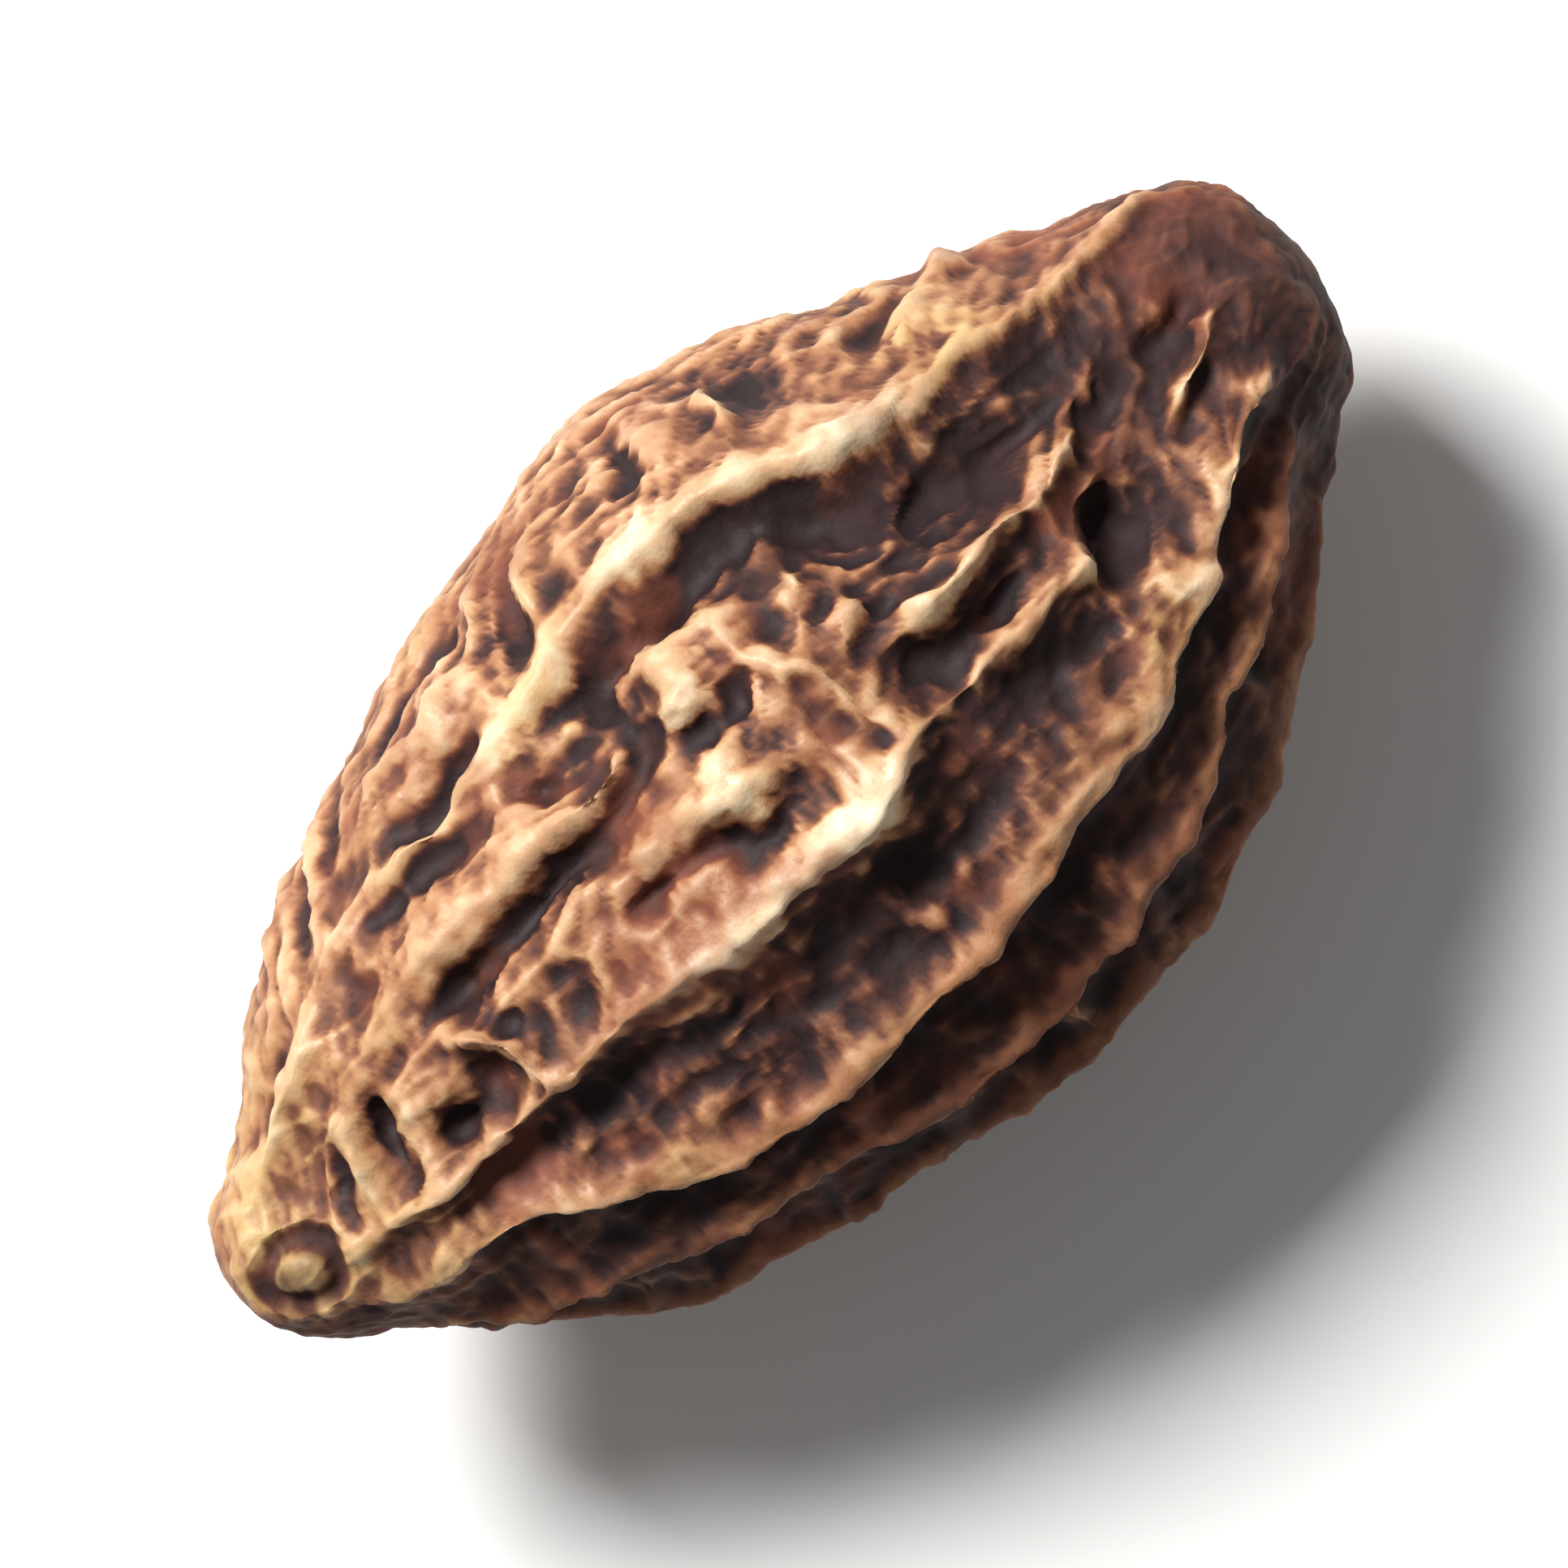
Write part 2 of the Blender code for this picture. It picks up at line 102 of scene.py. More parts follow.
def angle_from_above(x, y):
    """Angle in radians of the place on the body that lies at (x, y) seen from above."""
    half_width, _, centre_y, _ = section_at(x)
    return np.arcsin(np.clip((y - centre_y) / half_width, -1.0, 1.0))


sphere_grid = bmesh.new()
bmesh.ops.create_uvsphere(sphere_grid, u_segments=COLUMNS, v_segments=RINGS, radius=1.0)
body_mesh = bpy.data.meshes.new("plain fruit body")
sphere_grid.to_mesh(body_mesh)
sphere_grid.free()
sphere = np.empty(len(body_mesh.vertices) * 3)
body_mesh.vertices.foreach_get("co", sphere)
sphere = sphere.reshape(-1, 3)
sphere_x = np.clip(sphere[:, 2], -1.0, 1.0)
x = (sphere_x * (1.0 - RING_EVENNESS) + np.arcsin(sphere_x) / (math.pi / 2.0) * RING_EVENNESS) * LENGTH / 2.0
angle = np.arctan2(sphere[:, 1], sphere[:, 0])
angle -= TOP_CROWDING * np.sin(angle)
points = body_points(x, angle)
body_mesh.vertices.foreach_set("co", points.ravel())
body_mesh.update()
# The turned grid faces inwards or outwards by its handedness, so its faces are turned to point out.
middle_face = body_mesh.polygons[len(body_mesh.polygons) // 2]
if middle_face.normal.dot(middle_face.center - Vector((middle_face.center.x, 0.0, 0.0))) < 0.0:
    body_mesh.flip_normals()

# Ribs, creases and the stalk scar.
# The flesh dries unevenly, so the skin stands in long ribs over the stone's ridges and in short creases between
# them. Where the stalk broke off it leaves a small round disc in a ring-shaped groove. All of them are skin.
RIB_HEIGHT = 1.3
FLAT_SPOT_DEPTH = 0.62
FLAT_SPOT_BARE = 1.0
FLAT_SPOT_SMOOTHED = 4.5
END_FADE = 2.4

# How the relief keeps pace with the fruit's girth, as powers of its share of the full radius
RELIEF_TAPER = 0.85
RIB_TAPER = 0.8
LEAST_RIB_WIDTH = 0.05

# How far ribs stray to either side, as an angle in radians, how much of its height a rib rises and falls by,
# and the size of these swells. Then the same for creases, which stray by a length
RIB_STRAY = 0.07
RIB_UNEVENNESS = 0.25
RIB_SWELL_SIZE = 2.6
CREASE_STRAY = 0.5
CREASE_UNEVENNESS = 0.9
CREASE_SWELL_SIZE = 1.5
CREASE_SEED = 7

# Section of a rib: the share of its height in the narrow crest, and how much narrower than its foot that is
CREST_SHARE = 0.4
CREST_NARROWING = 2.2

# Power in which ribs add up: the higher, the less a rib swells where it meets its neighbour
RIB_BLEND = 3.0

# Share of a crease's length over which each of its ends fades, and how sharp the bottom of a groove is
CREASE_END = 0.38
GROOVE_SHARPNESS = 1.5

# Ribs, as (half width on the side of the larger angle, half width on the other side, stations of (x, angle,
# share of the rib height)). A rib starts and ends where its share is 0
RIBS = (
    # broad golden rib
    (3.0, 1.5, ((-15.6, 36, 0), (-13.5, 36, 0.8), (-10, 42, 0.9), (-4, 38, 0.95), (0, 40, 1.05), (3, 38, 1.1),
                (6, 35, 1.05), (11, 42, 1.0), (14.5, 58, 0.8), (15.8, 62, 0))),
    # short rib, central rib and thin golden rib
    (1.6, 1.5, ((2.4, 3, 0), (4, 3.5, 0.7), (5.6, 4.5, 0.9), (7.2, 7, 0.8), (8.1, 8, 0.45), (9, 10, 0.6),
                (10.4, 11, 0))),
    (2.4, 1.3, ((-14.5, -16, 0), (-12.5, -13, 0.7), (-9, -11, 0.85), (-6.5, -9, 1.0), (-2, -12, 1.1),
                (2.5, -10, 1.05), (4, -8, 0.5), (7, -8, 0.45), (9, -9, 0.3), (10.5, -10, 0))),
    (3.0, 1.1, ((-15.4, -52, 0), (-13.5, -42, 0.6), (-11, -31, 0.8), (-7, -41, 0.85), (0, -41, 0.85),
                (6, -36, 0.75), (9.5, -33, 0.7), (12, -26, 0.5), (14.8, -16, 0))),
    # ribs of the shaded side, the resting rib and ribs of the far side
    (2.2, 1.4, ((-14.5, -76, 0), (-11, -66, 0.7), (-5, -60, 0.8), (0, -61, 0.85), (5, -57, 0.8),
                (11, -52, 0.7), (15.5, -46, 0))),
    (2.2, 1.8, ((-15, -98, 0), (-11, -92, 0.9), (-5, -88, 1.0), (5, -86, 1.0), (12, -88, 0.9),
                (15.6, -90, 0))),
    (1.9, 1.9, ((-14, -120, 0), (-9, -114, 0.75), (-3, -113, 0.9), (6, -117, 0.8), (12, -113, 0.8),
                (15, -110, 0))),
    (2.2, 2.0, ((-15, -148, 0), (-8, -143, 1.0), (0, -142, 0.95), (8, -146, 1.05), (14.5, -152, 0))),
    (5.6, 5.6, ((-15, -185, 0), (-11, -182, 0.8), (-4, -179, 1.05), (5, -181, 1.05), (11, -178, 0.85),
                (15.2, -176, 0))),
    (2.0, 2.2, ((-14, -219, 0), (-8, -216, 0.8), (0, -216, 1.0), (9, -212, 0.9), (15.4, -209, 0))),
    (2.2, 2.0, ((-15, -252, 0), (-9, -246, 0.85), (-2, -244, 0.95), (8, -248, 0.9), (15, -238, 0))),
)

# Swellings between the ribs, nearly flat on top, given as the ribs are
SWELLINGS = (
    # smooth flank over the broad rib, and the field under the left part of that rib
    (6.2, 5.0, ((-15.2, 58, 0), (-13, 59, 0.7), (-8, 62, 0.92), (-2, 62, 0.96), (6, 60, 0.96), (11, 64, 0.9),
                (15.6, 74, 0))),
    (2.1, 2.1, ((-13.6, 24, 0), (-10.5, 29, 0.8), (-5, 27, 0.82), (-2.6, 26, 0.6), (-1.4, 26, 0))),
    # field over the central rib and field under the right part of the broad rib
    (3.0, 3.0, ((-14, 5, 0), (-10.5, 5, 0.65), (-6, 2, 0.8), (0, 1, 0.85), (2.8, 1, 0.8), (4.4, 1, 0))),
    (2.3, 2.3, ((-2.4, 22, 0), (-1, 20, 0.75), (1.2, 19, 0.75), (2.8, 19, 0.5), (5, 18, 0))),
)

# Creases on the upper side, as (height, half width, route of (x, y)). A negative height is a groove
CREASES = (
    # hooked thin ridge left of the middle, the long groove under it and the hollow in its hook
    (0.35, 0.5, ((-8.0, 1.8), (-5.4, 2.15), (-3.4, 1.9), (-2.4, 2.2), (-2.1, 3.0), (-2.4, 3.9))),
    (-0.8, 0.9, ((-9.9, 0.9), (-8.0, 1.0), (-6.0, 1.35), (-3.8, 1.45), (-0.9, 1.4))),
    (-0.7, 1.1, ((-4.6, 3.3), (-2.3, 2.8))),
    (-0.45, 0.75, ((-8.8, 3.1), (-6.5, 3.35), (-4.2, 3.3))),
    # thin ridge and groove above the broad rib
    (0.3, 0.6, ((-8.4, 5.2), (-5.6, 5.4), (-2.8, 5.9))),
    (-0.7, 0.7, ((-8.0, 4.3), (-5.5, 4.6), (-3.5, 5.1))),
    # thin crease that crosses the top and meets the central rib
    (0.35, 0.45, ((0.9, 4.4), (1.3, 3.3), (1.4, 2.1), (2.1, 0.9), (2.3, -0.5), (3.2, -2.0))),
    (-0.6, 0.8, ((1.3, 0.7), (2.0, -0.5), (2.6, -1.8))),
    # grooves under the short rib, and the hollows where the ribs run out
    (-0.8, 0.85, ((2.7, -1.0), (5.0, -0.85), (7.0, -0.5), (8.9, 0.1))),
    (-0.9, 1.5, ((9.6, -0.2), (9.3, -2.7))),
    (-0.8, 1.2, ((9.2, 0.0), (11.0, 0.7), (13.0, 1.5), (15.6, 2.4))),
    (-0.8, 0.9, ((-2.6, 3.9), (-0.6, 4.4), (1.9, 4.2))),
    (-0.6, 1.7, ((3.8, 3.1), (7.0, 2.3), (11.0, 2.2))),
    # swellings and dips of the two fields
    (0.3, 1.4, ((-2.6, -0.2), (-1.0, 0.3), (0.4, 0.7))),
    (0.4, 1.0, ((-1.4, 1.9), (-0.4, 2.4), (0.2, 3.4))),
    (0.3, 0.9, ((1.9, 2.4), (3.6, 2.7))),
    (0.35, 0.9, ((2.6, 1.1), (4.0, 1.3))),
    (-0.55, 1.0, ((-5.6, -0.2), (-3.9, -0.1), (-2.4, -0.4), (-0.8, -1.1), (1.4, -1.0))),
    (-0.45, 0.8, ((-1.6, 1.5), (0.1, 1.3), (1.3, 1.7))),
    (-0.4, 0.7, ((-7.0, 0.7), (-6.2, -0.4), (-5.9, -1.6))),
    (-0.4, 0.7, ((-8.0, 0.5), (-7.4, -0.4), (-6.8, -1.4))),
    # folds and pits towards the stalk end
    (0.4, 0.7, ((-9.8, 1.0), (-8.4, -0.1), (-7.6, -1.2), (-7.0, -2.3))),
    (-0.8, 1.0, ((-11.0, -1.3), (-9.6, -1.1), (-8.0, -0.8))),
    (-0.8, 0.8, ((-10.9, 0.9), (-11.3, -0.6), (-11.6, -2.0))),
    (-0.6, 0.6, ((-12.4, 0.4), (-12.9, -0.6), (-13.1, -1.8))),
    (0.3, 0.6, ((-12.0, 1.3), (-12.2, 0.0), (-12.4, -1.5))),
    (-0.35, 0.7, ((-10.8, 2.0), (-9.0, 2.6))),
    # short ridges on the flank towards the blunt end
    (0.25, 0.7, ((8.8, -2.4), (9.4, -3.2), (9.8, -4.1))),
    (0.5, 0.9, ((9.8, -2.8), (12.0, -1.5), (14.8, -0.4))),
    (0.35, 0.7, ((11.0, -0.5), (12.6, 0.2), (14.6, 1.2))),
    (-0.6, 0.9, ((10.6, -3.6), (13.0, -2.5), (15.0, -1.6))),
    # oblique wrinkles on the flank over the broad rib
    (0.35, 0.6, ((-3.5, 5.8), (-2.7, 6.7), (-1.6, 7.7))),
    (0.35, 0.6, ((-1.9, 5.4), (-1.0, 6.5), (-0.2, 7.7))),
    (-0.5, 0.7, ((-2.8, 5.2), (-1.8, 6.2), (-0.8, 7.4))),
    (-0.5, 0.7, ((1.6, 6.0), (2.1, 7.0), (2.2, 8.1))),
    (0.35, 0.6, ((3.6, 4.9), (4.5, 6.2), (4.4, 7.5))),
    (-0.4, 0.8, ((4.9, 5.2), (5.6, 6.2), (5.6, 7.2))),
    (0.3, 0.8, ((8.2, 4.6), (10.6, 5.6))),
    (-0.35, 0.8, ((7.4, 5.0), (9.4, 5.9))),
    # wrinkles and grooves of the same flank towards the stalk end
    (-0.5, 0.8, ((-14.6, 1.4), (-12.6, 2.4), (-10.6, 3.6))),
    (0.3, 0.6, ((-10.8, 3.6), (-9.4, 5.4))),
    (-0.45, 0.6, ((-10.0, 3.7), (-8.6, 5.6))),
    (0.3, 0.6, ((-9.2, 3.9), (-7.9, 5.9))),
    (-0.4, 0.6, ((-8.1, 4.8), (-6.9, 6.3))),
    (-0.5, 0.8, ((-6.8, 5.8), (-4.6, 6.4), (-2.8, 7.1))),
)

# Cross wrinkles of the hidden sides: angles and lengths between which they lie, step and shift along the
# fruit, angle that one spans, gap to the next, how far it slants and bows, height and half width
HIDDEN_START, HIDDEN_END = -262.0, -58.0
FIRST_TURN = (0.0, 20.0)
WRINKLES_START, WRINKLES_END = -13.0, 13.5
WRINKLE_STEP = 1.6
WRINKLE_SHIFT = 0.7
WRINKLE_SPAN = (16.0, 34.0)
WRINKLE_GAP = (6.0, 26.0)
WRINKLE_SLANT = 0.65
WRINKLE_BOW = 0.15
WRINKLE_HEIGHT = (0.15, 0.5)
WRINKLE_HALF_WIDTH = 0.8
WRINKLE_LOSS_ON_RIBS = 0.4
WRINKLE_SEED = 7

# Stalk scar: where it is, the groove round its low disc and the rim, as (radius, half width, height), how far
# these rings stray from round, and the radius in which the other relief fades
SCAR_PLACE = (-14.7, -1.25)
SCAR_GROOVE = (0.8, 0.4, -0.24)
SCAR_RIM = (1.3, 0.5, 0.12)
SCAR_STRAY = 0.15
SCAR_SWELL_SIZE = 0.8
SCAR_SMOOTHED = 1.2


def bump(share):
    """Rounded bump: 1 in the middle, 0 from a share of 1 outwards."""
    return (1.0 - np.clip(share, 0.0, 1.0) ** 2) ** 2


def ease(share):
    """Eased step from 0 to 1."""
    share = np.clip(share, 0.0, 1.0)
    return share * share * (3.0 - 2.0 * share)


def rib_section(share):
    """Section of a rib: a narrow crest on a broad foot."""
    return (1.0 - CREST_SHARE) * bump(share) + CREST_SHARE * bump(CREST_NARROWING * share)


def swelling_section(share):
    """Section of a swelling: nearly flat on top."""
    return bump(share**2)


def swells(points, size):
    """Smooth noise about 0, mostly within 0.5 of it, with swells of a size in mm."""
    return np.array([noise.noise(Vector(point)) for point in points / size])


def off_flat_spot(points):
    """0 at the flat spot, eased to 1 away from it, where the skin is as uneven as elsewhere."""
    lowest = body_points(np.array(0.0), math.pi)
    return ease((np.linalg.norm(points - lowest, axis=1) - FLAT_SPOT_BARE) / FLAT_SPOT_SMOOTHED)


def rib_relief(points, x, angle):
    """Ribs as a share of the rib height: 1 on a full crest, 0 in a valley. Neighbours blend together."""
    radius = section_at(x)[0]
    rise = off_flat_spot(points) * swells(points, RIB_SWELL_SIZE)
    angle = angle + RIB_STRAY * rise
    rows = [(rib_section, *rib) for rib in RIBS] + [(swelling_section, *swelling) for swelling in SWELLINGS]
    total = np.zeros_like(x)
    for section, upper_width, lower_width, stations in rows:
        places, angles, shares = np.array(stations, float).T
        offset = angle - np.radians(smooth_curve(places, angles, x))
        offset = (offset + math.pi) % (2.0 * math.pi) - math.pi
        width = np.where(offset > 0.0, upper_width, lower_width) * (radius / FULL_RADIUS) ** RIB_TAPER
        height = np.maximum(smooth_curve(places, shares, x), 0.0)
        total += (height * section(np.abs(offset) * radius / (width + LEAST_RIB_WIDTH))) ** RIB_BLEND
    return total ** (1.0 / RIB_BLEND) * (1.0 + RIB_UNEVENNESS * rise)


def groove_section(share):
    """Section of a groove: folds of skin meet in a sharp bottom."""
    return (1.0 - np.clip(share, 0.0, 1.0)) ** GROOVE_SHARPNESS


def strayed(points):
    """Points moved a little by smooth noise, so that creases measured from them wander."""
    noise.seed_set(CREASE_SEED)
    moves = np.array([noise.noise_vector(Vector(point)) for point in points / CREASE_SWELL_SIZE])
    return points + CREASE_STRAY * moves


def crease_relief(points, height, half_width, route):
    """Height that a crease adds at each point. The route is a row of points on the body."""
    nearest = np.full(len(points), np.inf)
    passed = np.zeros(len(points))
    steps = len(route) - 1
    for step in range(steps):
        run = route[step + 1] - route[step]
        share = np.clip((points - route[step]) @ run / (run @ run), 0.0, 1.0)
        gap = np.linalg.norm(points - route[step] - share[:, None] * run, axis=1)
        closer = gap < nearest
        nearest[closer] = gap[closer]
        passed[closer] = (step + share[closer]) / steps
    fade = ease(passed / CREASE_END) * ease((1.0 - passed) / CREASE_END)
    section = bump if height > 0.0 else groove_section
    return height * fade * section(nearest / half_width)


def hidden_wrinkles():
    """Cross wrinkles of the hidden sides: short oblique ridges between the ribs, the same on each run."""
    chance = random.Random(WRINKLE_SEED)
    x = WRINKLES_START
    while x < WRINKLES_END:
        angle = HIDDEN_START + chance.uniform(*FIRST_TURN)
        while angle < HIDDEN_END:
            span = chance.uniform(*WRINKLE_SPAN)
            slant = chance.uniform(-WRINKLE_SLANT, WRINKLE_SLANT)
            shift = chance.uniform(-WRINKLE_SHIFT, WRINKLE_SHIFT)
            places = x + shift + np.array((-slant, WRINKLE_BOW, slant))
            angles = np.radians(angle + np.array((0.0, span / 2.0, span)))
            yield chance.uniform(*WRINKLE_HEIGHT), WRINKLE_HALF_WIDTH, body_points(places, angles)
            angle += span + chance.uniform(*WRINKLE_GAP)
        x += WRINKLE_STEP


def scar_distance(points):
    """Distance of each point from the middle of the stalk scar, uneven so that its rings stray from round."""
    x, y = np.array(SCAR_PLACE)
    distance = np.linalg.norm(points - body_points(x, angle_from_above(x, y)), axis=1)
    return distance + SCAR_STRAY * swells(points, SCAR_SWELL_SIZE)


def ring_relief(distance, radius, half_width, height):
    """Height that a ring of the scar adds at each distance from its middle."""
    return height * bump(np.abs(distance - radius) / half_width)


size = (section_at(x)[0] / FULL_RADIUS) ** RELIEF_TAPER
smoothed = off_flat_spot(points)
from_scar = scar_distance(points)
off_scar = ease(from_scar / SCAR_SMOOTHED)
ribs = rib_relief(points, x, angle)
creases = np.zeros_like(x)
strayed_places = strayed(points)
swell = 1.0 + CREASE_UNEVENNESS * swells(points, CREASE_SWELL_SIZE)
for height, half_width, route in CREASES:
    route_x, route_y = np.array(route).T
    course = body_points(route_x, angle_from_above(route_x, route_y))
    creases += swell * crease_relief(strayed_places, height, half_width, course)
for wrinkle in hidden_wrinkles():
    creases += smoothed * size * (1.0 - WRINKLE_LOSS_ON_RIBS * ribs) * crease_relief(strayed_places, *wrinkle)
creases *= off_scar
creases += ring_relief(from_scar, *SCAR_GROOVE) + ring_relief(from_scar, *SCAR_RIM)
rib_room = size * ease((LENGTH / 2.0 - np.abs(x)) / END_FADE) * off_scar

# The raised net and the fine wrinkles.
# Between the ribs the dry skin draws up into a net of low threads. Its meshes hold finer cross wrinkles and thin
# lengthwise veins. The net's places are those of the solid; Geometry Nodes raise the skin and add the fine ones.
NET_LENGTH, NET_WIDTH = 2.9, 3.6
NET_HEIGHT = 0.32
NET_THICKNESS = 0.55
NET_LOSS_ON_RIBS = 0.6
WARP_SIZE, WARP_REACH = 3.4, 1.4
WRINKLE_SLANT_SHARE = 0.42
CROSS_FOLD_SIZE = (1.0, 2.8, 2.8)
CROSS_FOLD_DEPTH = 0.3
FINE_FOLD_SIZE = (0.65, 1.0, 1.0)
FINE_FOLD_DEPTH = 0.12
VEIN_SIZE = (4.4, 1.0, 1.0)
VEIN_HEIGHT = 0.15
LUMP_SIZE = 1.8
LUMP_HEIGHT = 0.45
PUCKER_SIZE = 0.6
PUCKER_HEIGHT = 0.16
PATCH_SIZE = 4.0
WRINKLE_NOISE_SEED = 3.0
CRACK_SPREAD = 3
FURROW_SPREAD = 14
HOLLOW_SPREAD = 160
# the side away from the key light, painted darker as shade, as degrees around the fruit, and the turn over which it
# sets in
SHADED_FROM, SHADED_OVER = -20.0, 42.0
# dark ring round the stalk scar as share and reach, and dark patches as x and y seen from above, reach and share:
# mostly painted shade in valleys, hollows and pits, with the dark blunt end
SCAR_RING_SHARE, SCAR_RING_REACH = 0.55, 0.5
SHADE_AND_DARK_SPOTS = (
    (14.6, 1.6, 3.6, 0.65),
    (12.0, 1.4, 2.6, 0.6),
    (9.4, -1.6, 1.8, 0.8),
    (5.4, 2.5, 1.8, 0.8),
    (8.0, 2.3, 2.1, 0.9),
    (2.8, 3.1, 1.2, 0.5),
    (-1.0, -4.0, 2.6, 0.5),
    (-6.0, -3.6, 2.2, 0.45),
    (4.5, -3.0, 2.6, 0.5),
    (-3.0, 2.9, 1.0, 0.6),
    (-9.4, -1.1, 1.2, 0.4),
)
# pale patches, given the same way: painted highlights on the top, the central rib and the lit flank, and the pale stalk
# scar disc
HIGHLIGHTS_AND_PALE_SPOTS = (
    (-1.1, 0.2, 1.5, 1.0),
    (-0.4, 2.4, 1.0, 0.9),
    (-3.0, -2.3, 2.4, 0.8),
    (0.5, -2.2, 2.2, 0.7),
    (1.5, 5.2, 2.6, 0.8),
    (6.0, 4.2, 2.4, 0.5),
    (-4.5, 4.6, 2.6, 0.5),
    (5.5, 0.4, 1.5, 0.6),
    (9.3, -3.3, 0.9, 0.9),
    (-14.7, -1.25, 0.7, 0.5),
)


def net_relief(points):
    """Raised net of the skin, from 0 inside a mesh of it to 1 on its threads."""
    sizes = np.array((NET_LENGTH, NET_WIDTH, NET_WIDTH))
    threads = np.empty(len(points))
    for index, point in enumerate(points / sizes):
        nearest = noise.voronoi(Vector(point))[0]
        threads[index] = 1.0 - (nearest[1] - nearest[0]) / NET_THICKNESS
    return ease(threads)


def shade_and_light_patches(rows):
    """Shares from 0 to 1 of a patch at each point, from rows of (x, y, reach, share) seen from above. The patches paint
    shade and highlights.
    """
    covered = np.zeros_like(x)
    for spot_x, spot_y, reach, share in np.array(rows):
        middle = body_points(spot_x, angle_from_above(spot_x, spot_y))
        covered = np.maximum(covered, share * bump(np.linalg.norm(points - middle, axis=1) / reach))
    return covered


net_room = smoothed * size * (1.0 - NET_LOSS_ON_RIBS * ribs) * off_scar
degrees = np.degrees(angle)
fine_room = size**0.35 * (0.4 + 0.6 * off_scar) * (0.25 + 0.75 * smoothed)
places_on_skin = {
    "ribs": ribs,
    "rib_room": rib_room,
    "creases": creases,
    "net": net_relief(points) * net_room,
    "fine_room": fine_room,
    "shaded": ease((SHADED_FROM - degrees) / SHADED_OVER) * ease((degrees + 180.0) / SHADED_OVER),
    # dark patches: painted shade with a few dark spots of the skin
    "shade_and_dark_spots": np.maximum(shade_and_light_patches(SHADE_AND_DARK_SPOTS), SCAR_RING_SHARE * bump((from_scar - SCAR_GROOVE[0]) / SCAR_RING_REACH)),
    # pale patches: painted highlights with the pale scar disc
    "highlight_and_pale": shade_and_light_patches(HIGHLIGHTS_AND_PALE_SPOTS),
}
for name, values in places_on_skin.items():
    body_mesh.attributes.new(name, "FLOAT", "POINT").data.foreach_set("value", values.astype(np.float32))


def add(tree, kind, settings=None, inputs=None):
    """Add a node: settings are its own properties, and inputs are values or the sockets that it is linked to."""
    node = tree.nodes.new(kind)
    for name, value in (settings or {}).items():
        setattr(node, name, value)
    for name, value in (inputs or {}).items():
        if isinstance(value, bpy.types.NodeSocket):
            tree.links.new(value, node.inputs[name])
        else:
            node.inputs[name].default_value = value
    return node


def math_of(tree, operation, *values):
    """The result of a Math node on two or three values or sockets."""
    return add(tree, "ShaderNodeMath", {"operation": operation}, dict(enumerate(values))).outputs[0]


def vector_of(tree, operation, *values):
    """The result of a Vector Math node on two or three values or sockets."""
    return add(tree, "ShaderNodeVectorMath", {"operation": operation}, dict(enumerate(values))).outputs[0]


skin_tree = bpy.data.node_groups.new("Wrinkled fruit skin", "GeometryNodeTree")
skin_sizes = (
    ("Rib height", "NodeSocketFloat", RIB_HEIGHT),
    ("Net height", "NodeSocketFloat", NET_HEIGHT),
    ("Warp size", "NodeSocketFloat", WARP_SIZE),
    ("Warp reach", "NodeSocketFloat", WARP_REACH),
    ("Wrinkle slant", "NodeSocketFloat", WRINKLE_SLANT_SHARE),
    ("Cross fold size", "NodeSocketVector", CROSS_FOLD_SIZE),
    ("Cross fold depth", "NodeSocketFloat", CROSS_FOLD_DEPTH),
    ("Fine fold size", "NodeSocketVector", FINE_FOLD_SIZE),
    ("Fine fold depth", "NodeSocketFloat", FINE_FOLD_DEPTH),
    ("Vein size", "NodeSocketVector", VEIN_SIZE),
    ("Vein height", "NodeSocketFloat", VEIN_HEIGHT),
    ("Lump size", "NodeSocketFloat", LUMP_SIZE),
    ("Lump height", "NodeSocketFloat", LUMP_HEIGHT),
    ("Pucker size", "NodeSocketFloat", PUCKER_SIZE),
    ("Pucker height", "NodeSocketFloat", PUCKER_HEIGHT),
    ("Patch size", "NodeSocketFloat", PATCH_SIZE),
    ("Flat spot depth", "NodeSocketFloat", FLAT_SPOT_DEPTH),
    ("Crack spread", "NodeSocketInt", CRACK_SPREAD),
    ("Furrow spread", "NodeSocketInt", FURROW_SPREAD),
    ("Hollow spread", "NodeSocketInt", HOLLOW_SPREAD),
    ("Seed", "NodeSocketFloat", WRINKLE_NOISE_SEED),
    ("Skin", "NodeSocketMaterial", None),
)
skin_tree.interface.new_socket("Geometry", in_out="INPUT", socket_type="NodeSocketGeometry")
for name, kind, value in skin_sizes:
    skin_tree.interface.new_socket(name, in_out="INPUT", socket_type=kind)
skin_tree.interface.new_socket("Geometry", in_out="OUTPUT", socket_type="NodeSocketGeometry")
given = skin_tree.nodes.new("NodeGroupInput").outputs


def stored(name):
    """A value stored on the body's points."""
    return add(skin_tree, "GeometryNodeInputNamedAttribute", {"data_type": "FLOAT"}, {"Name": name}).outputs[0]


def noise_at(place, size, detail, shift=0.0):
    """The outputs of a soft noise of a size in mm."""
    return add(
        skin_tree,
        "ShaderNodeTexNoise",
        {"noise_dimensions": "4D"},
        {
            "Vector": vector_of(skin_tree, "DIVIDE", place, size),
            "W": math_of(skin_tree, "ADD", given["Seed"], shift),
            "Scale": 1.0,
            "Detail": detail,
            "Roughness": 0.5,
        },
    ).outputs


